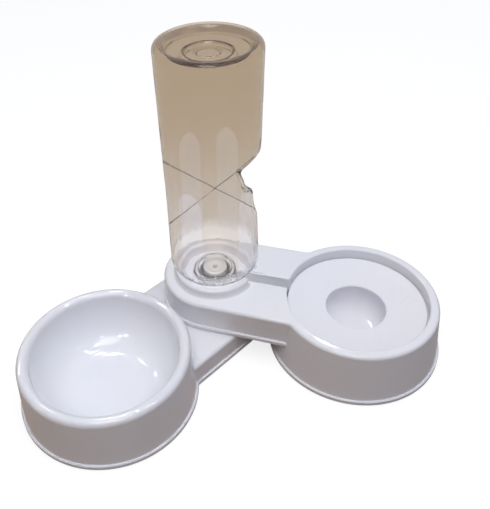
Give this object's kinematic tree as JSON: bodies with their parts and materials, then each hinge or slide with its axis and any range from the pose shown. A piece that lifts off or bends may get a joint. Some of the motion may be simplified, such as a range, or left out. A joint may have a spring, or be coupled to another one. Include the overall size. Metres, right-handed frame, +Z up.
{
  "type": "pet food and water dispenser",
  "caption": "Two round white bowls on swivelling arms, with an inverted clear bottle that refills the water bowl.",
  "frame": {"origin": "on the floor, on the axis that the food bowl's arm turns about, under the bottle", "axes": "+X from the pivot towards the middle of the water bowl, +Z up along the pivot and the bottle"},
  "size_m": [0.3046, 0.2358, 0.244],
  "materials": {
    "white_plastic": "gloss",
    "clear_plastic": "clear gloss",
    "soft_white": "satin",
    "grey_rubber": "matt",
    "spring_steel": "bright"
  },
  "bodies": {
    "water_base": {"water_bowl": "white_plastic", "splash_disc": "white_plastic", "bottle": "clear_plastic", "bottle_cap": "soft_white", "cap_gasket": "grey_rubber", "valve_guide": "soft_white", "valve_spring": "spring_steel", "slip_washer": "soft_white", "swivel_plate": "white_plastic", "plate_screw_1": "spring_steel", "plate_screw_2": "spring_steel", "plate_screw_3": "spring_steel", "hub_foot": "grey_rubber", "water_foot_1": "grey_rubber", "water_foot_2": "grey_rubber", "water_foot_3": "grey_rubber"},
    "food_base": {"food_bowl": "white_plastic", "food_foot_1": "grey_rubber", "food_foot_2": "grey_rubber", "food_foot_3": "grey_rubber"},
    "valve": {"valve_stem": "soft_white", "valve_seal": "grey_rubber"}
  },
  "joints": [
    {"name": "food_arm_swivel", "type": "hinge", "parent": "water_base", "child": "food_base", "pos_m": [0, 0, 0], "axis": [0, 0, 1], "range_deg": [-158, 35]},
    {"name": "valve_slide", "type": "slide", "parent": "water_base", "child": "valve", "axis": [0, 0, 1], "range_m": [0, 0.0015], "stiffness_N_per_m": 60, "springref_m": -0.004, "deforming": ["valve_spring"]}
  ]
}
